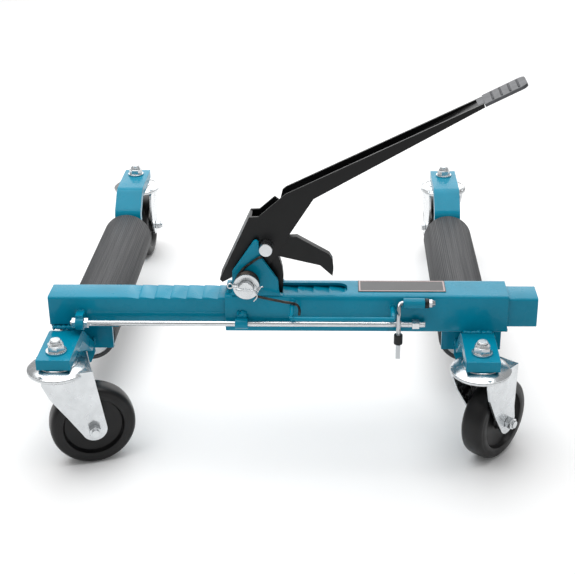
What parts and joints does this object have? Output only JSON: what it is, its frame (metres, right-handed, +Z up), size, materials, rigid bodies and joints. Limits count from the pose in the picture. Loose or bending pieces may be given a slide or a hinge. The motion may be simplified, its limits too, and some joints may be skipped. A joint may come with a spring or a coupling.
{
  "type": "wheel dolly jack",
  "caption": "Foot-pedal wheel dolly: telescoping square tubes carry long rollers that squeeze under a tyre, with a ratchet pawl and swivel casters.",
  "frame": {"origin": "centre of the bounding box, at the floor under the casters", "axes": "+X along the telescoping tubes towards the side with the fixed arms, +Y along the rollers away from the pedal, +Z up"},
  "size_m": [0.6376, 0.7688, 0.482],
  "materials": {
    "teal_paint": "gloss teal paint on steel",
    "black_paint": "satin black coating on steel",
    "zinc_plate": "bright zinc plate",
    "chrome_plate": "polished plating",
    "roller_coat": "matt dark grey ribbed coating on a steel tube",
    "wheel_plastic": "moulded black nylon",
    "black_plastic": "smooth black sleeve",
    "dark_steel": "oiled spring steel",
    "tread_cast": "grey cast foot pad",
    "plate_print": "blank dark grey plate"
  },
  "bodies": {
    "fixed_frame": {"outer_tube": "teal_paint", "lug_front": "teal_paint", "lug_rear": "teal_paint", "pivot_pin": "zinc_plate", "pivot_washer": "zinc_plate", "split_pin": "zinc_plate", "return_spring": "dark_steel", "guard_rod": "teal_paint", "rod_guide": "teal_paint", "latch_sleeve": "teal_paint", "rating_plate": "plate_print", "arm_front_right": "teal_paint", "arm_rear_right": "teal_paint", "roller_bracket_right": "teal_paint", "roller_shaft_right": "zinc_plate", "stem_fr": "zinc_plate", "stem_rr": "zinc_plate", "stem_nut_fr": "zinc_plate", "stem_nut_rr": "zinc_plate"},
    "sliding_beam": {"inner_tube": "teal_paint", "rod_lug": "teal_paint", "stop_rod": "zinc_plate", "rod_nut_outer": "zinc_plate", "rod_nut_inner": "zinc_plate", "rod_nut_end": "zinc_plate", "arm_front_left": "teal_paint", "arm_rear_left": "teal_paint", "roller_bracket_left": "teal_paint", "roller_shaft_left": "zinc_plate", "stem_fl": "zinc_plate", "stem_rl": "zinc_plate", "stem_nut_fl": "zinc_plate", "stem_nut_rl": "zinc_plate"},
    "left_roller": {"roller_left": "roller_coat", "roller_cap_front_left": "zinc_plate", "roller_cap_rear_left": "zinc_plate"},
    "right_roller": {"roller_right": "roller_coat", "roller_cap_front_right": "zinc_plate", "roller_cap_rear_right": "zinc_plate"},
    "caster_fl": {"fork_fl": "zinc_plate", "axle_fl": "zinc_plate"},
    "caster_wheel_fl": {"wheel_fl": "wheel_plastic"},
    "caster_fr": {"fork_fr": "zinc_plate", "axle_fr": "zinc_plate"},
    "caster_wheel_fr": {"wheel_fr": "wheel_plastic"},
    "caster_rl": {"fork_rl": "zinc_plate", "axle_rl": "zinc_plate"},
    "caster_wheel_rl": {"wheel_rl": "wheel_plastic"},
    "caster_rr": {"fork_rr": "zinc_plate", "axle_rr": "zinc_plate"},
    "caster_wheel_rr": {"wheel_rr": "wheel_plastic"},
    "pedal": {"pedal_channel": "black_paint", "lever_pin": "zinc_plate", "tread_pad": "tread_cast"},
    "pawl_carrier": {"pawl_bush": "dark_steel"},
    "drive_pawl_body": {"drive_pawl": "black_paint"},
    "holding_pawl_body": {"holding_pawl": "black_paint"},
    "transport_latch": {"latch_rod": "chrome_plate", "latch_collar": "black_plastic", "latch_nut": "chrome_plate"}
  },
  "joints": [
    {"name": "beam_slide", "type": "slide", "parent": "fixed_frame", "child": "sliding_beam", "axis": [1, 0, 0], "range_m": [-0.2, 0.13]},
    {"name": "left_roller_spin", "type": "hinge", "parent": "sliding_beam", "child": "left_roller", "pos_m": [-0.2802, 0.00425, 0.093], "axis": [0, 1, 0], "continuous": true},
    {"name": "right_roller_spin", "type": "hinge", "parent": "fixed_frame", "child": "right_roller", "pos_m": [0.2438, 0.00425, 0.093], "axis": [0, 1, 0], "continuous": true},
    {"name": "swivel_fl", "type": "hinge", "parent": "sliding_beam", "child": "caster_fl", "pos_m": [-0.2802, -0.34625, 0.13], "axis": [0, 0, 1], "continuous": true},
    {"name": "wheel_spin_fl", "type": "hinge", "parent": "caster_fl", "child": "caster_wheel_fl", "pos_m": [-0.24644, -0.33528, 0.054], "axis": [-0.309, 0.9511, 0], "continuous": true},
    {"name": "swivel_fr", "type": "hinge", "parent": "fixed_frame", "child": "caster_fr", "pos_m": [0.2438, -0.34625, 0.13], "axis": [0, 0, 1], "continuous": true},
    {"name": "wheel_spin_fr", "type": "hinge", "parent": "caster_fr", "child": "caster_wheel_fr", "pos_m": [0.26662, -0.31905, 0.054], "axis": [-0.766, 0.6428, 0], "continuous": true},
    {"name": "swivel_rl", "type": "hinge", "parent": "sliding_beam", "child": "caster_rl", "pos_m": [-0.2802, 0.29475, 0.13], "axis": [0, 0, 1], "continuous": true},
    {"name": "wheel_spin_rl", "type": "hinge", "parent": "caster_rl", "child": "caster_wheel_rl", "pos_m": [-0.27896, 0.33023, 0.054], "axis": [-0.9994, 0.0349, 0], "continuous": true},
    {"name": "swivel_rr", "type": "hinge", "parent": "fixed_frame", "child": "caster_rr", "pos_m": [0.2438, 0.29475, 0.13], "axis": [0, 0, 1], "continuous": true},
    {"name": "wheel_spin_rr", "type": "hinge", "parent": "caster_rr", "child": "caster_wheel_rr", "pos_m": [0.23886, 0.32991, 0.054], "axis": [-0.9903, -0.1392, 0], "continuous": true},
    {"name": "pedal_press", "type": "hinge", "parent": "fixed_frame", "child": "pedal", "pos_m": [-0.0469, -0.26525, 0.2305], "axis": [0, 1, 0], "range_deg": [0, 14], "stiffness_Nm_per_rad": 4, "springref_deg": -34.38, "deforming": ["return_spring"]},
    {"name": "pawl_carrier_turn", "type": "hinge", "parent": "pedal", "child": "pawl_carrier", "pos_m": [-0.0226, -0.26525, 0.275], "axis": [0, 1, 0], "range_deg": [-33, 0]},
    {"name": "drive_pawl_lift", "type": "hinge", "parent": "pawl_carrier", "child": "drive_pawl_body", "pos_m": [-0.0226, -0.26525, 0.275], "axis": [0, 1, 0], "range_deg": [-15, 0]},
    {"name": "holding_pawl_lift", "type": "hinge", "parent": "fixed_frame", "child": "holding_pawl_body", "pos_m": [-0.0469, -0.26525, 0.2305], "axis": [0, 1, 0], "range_deg": [-20, 0]},
    {"name": "latch_swing", "type": "hinge", "parent": "fixed_frame", "child": "transport_latch", "pos_m": [0.1648, -0.29845, 0.2045], "axis": [-1, 0, 0], "range_deg": [0, 100]}
  ],
  "couplings": [
    {"joint": "pawl_carrier_turn", "follows": "pedal_press", "ratio": -2.15}
  ]
}
